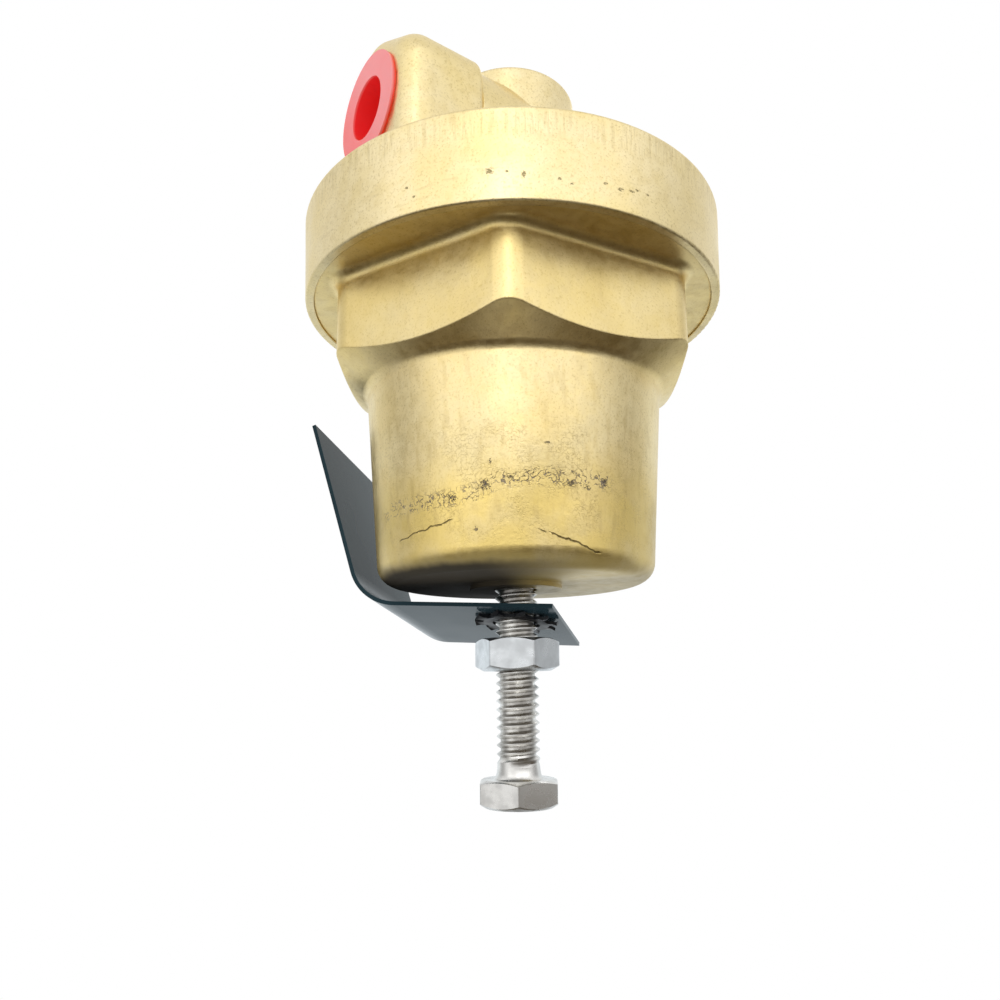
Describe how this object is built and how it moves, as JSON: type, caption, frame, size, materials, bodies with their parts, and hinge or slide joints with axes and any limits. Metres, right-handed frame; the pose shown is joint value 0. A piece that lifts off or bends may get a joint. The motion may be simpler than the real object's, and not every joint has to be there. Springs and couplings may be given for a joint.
{
  "type": "differential pressure regulating valve",
  "caption": "Diaphragm regulating valve: in-line ports on a round brass body, hexagon bonnet below with an adjusting screw, lock nut and bent tag; one port is plugged.",
  "frame": {"origin": "centre of the open outlet port's face", "axes": "+X out of the outlet port, +Z along the valve's axis from the adjusting screw towards the hub"},
  "size_m": [0.066, 0.0745, 0.1149],
  "materials": {
    "brass_body": "satin forged brass",
    "zinc_steel": "bright zinc plated",
    "inner_steel": "plain spring steel and stainless steel",
    "inner_brass": "turned brass",
    "black_tag": "glossy black enamel on thin steel",
    "black_steel": "blackened steel",
    "red_plug": "translucent red",
    "seal_rubber": "matte black"
  },
  "bodies": {
    "housing": {"valve_body": "brass_body", "bonnet": "brass_body", "hub_plug": "inner_brass", "plug_o_ring": "seal_rubber", "seat_ring": "inner_brass", "slip_ring": "inner_steel", "inlet_screen": "inner_steel", "diaphragm": "seal_rubber", "range_spring": "inner_steel", "poppet_spring": "inner_steel"},
    "button": {"spring_button": "inner_steel"},
    "screw": {"adjusting_screw": "zinc_steel"},
    "nut": {"lock_nut": "zinc_steel"},
    "tag": {"tag_plate": "black_tag", "tooth_washer": "black_steel"},
    "diaphragm_stack": {"pressure_plate": "inner_steel", "diaphragm_washer": "inner_steel", "diaphragm_stud": "inner_brass", "diaphragm_nut": "inner_brass"},
    "poppet_group": {"poppet": "inner_brass", "poppet_seal": "seal_rubber"},
    "port_plug": {"inlet_plug": "red_plug"}
  },
  "joints": [
    {"name": "screw_travel", "type": "slide", "parent": "housing", "child": "button", "axis": [0, 0, 1], "range_m": [-0.00381, 0.00762], "deforming": ["range_spring"]},
    {"name": "screw_turn", "type": "hinge", "parent": "button", "child": "screw", "pos_m": [-0.026, 0, -0.0702], "axis": [0, 0, 1], "range_deg": [-1090, 2170]},
    {"name": "nut_travel", "type": "slide", "parent": "housing", "child": "nut", "axis": [0, 0, 1], "range_m": [-0.005, 0.0013]},
    {"name": "tag_swivel", "type": "hinge", "parent": "housing", "child": "tag", "pos_m": [-0.026, 0, -0.0752], "axis": [0, 0, 1], "continuous": true},
    {"name": "diaphragm_lift", "type": "slide", "parent": "housing", "child": "diaphragm_stack", "axis": [0, 0, 1], "range_m": [0, 0.0015], "deforming": ["diaphragm"]},
    {"name": "poppet_lift", "type": "slide", "parent": "housing", "child": "poppet_group", "axis": [0, 0, 1], "range_m": [0, 0.0015], "deforming": ["poppet_spring"]},
    {"name": "plug_pull", "type": "slide", "parent": "housing", "child": "port_plug", "axis": [-1, 0, 0], "range_m": [0, 0.015]}
  ],
  "couplings": [
    {"joint": "screw_turn", "follows": "screw_travel", "rad_per_m": 4947.4},
    {"joint": "poppet_lift", "follows": "diaphragm_lift", "ratio": 1}
  ]
}
